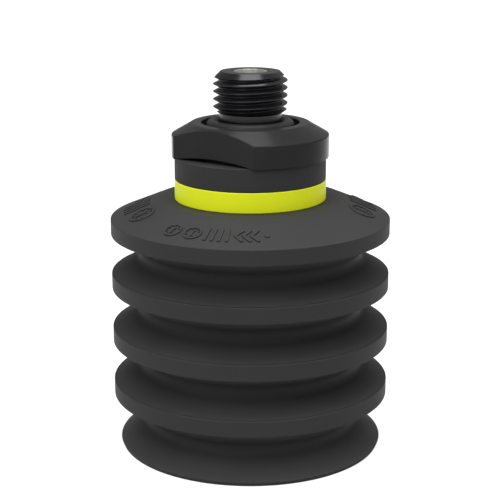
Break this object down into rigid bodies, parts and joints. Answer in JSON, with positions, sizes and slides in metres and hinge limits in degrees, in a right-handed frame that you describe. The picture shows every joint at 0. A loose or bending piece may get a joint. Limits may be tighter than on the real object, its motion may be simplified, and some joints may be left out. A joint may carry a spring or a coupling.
{
  "type": "bellows suction cup",
  "caption": "Round rubber bellows suction cup with a flared lip, a lock ring, a body with two wrench flats, a seal ring and a hollow threaded nipple on top.",
  "frame": {"origin": "centre of the lip's sealing edge, on the surface that the cup stands on", "axes": "+Z along the cup's axis from the lip to the thread, +Y and -Y square to the two wrench flats"},
  "size_m": [0.05, 0.05, 0.068],
  "materials": {
    "cup_rubber": "satin moulded rubber",
    "ring_plastic": "satin moulded plastic",
    "body_plastic": "fine moulded texture",
    "nipple_metal": "black anodised, turned",
    "seal_rubber": "smooth moulded rubber",
    "filter_steel": "bright rolled and woven steel"
  },
  "bodies": {
    "root": {"bellows_cup": "cup_rubber", "lock_ring": "ring_plastic", "wrench_body": "body_plastic", "threaded_nipple": "nipple_metal", "seal_ring": "seal_rubber", "filter_sleeve": "filter_steel", "filter_mesh": "filter_steel"}
  },
  "joints": []
}
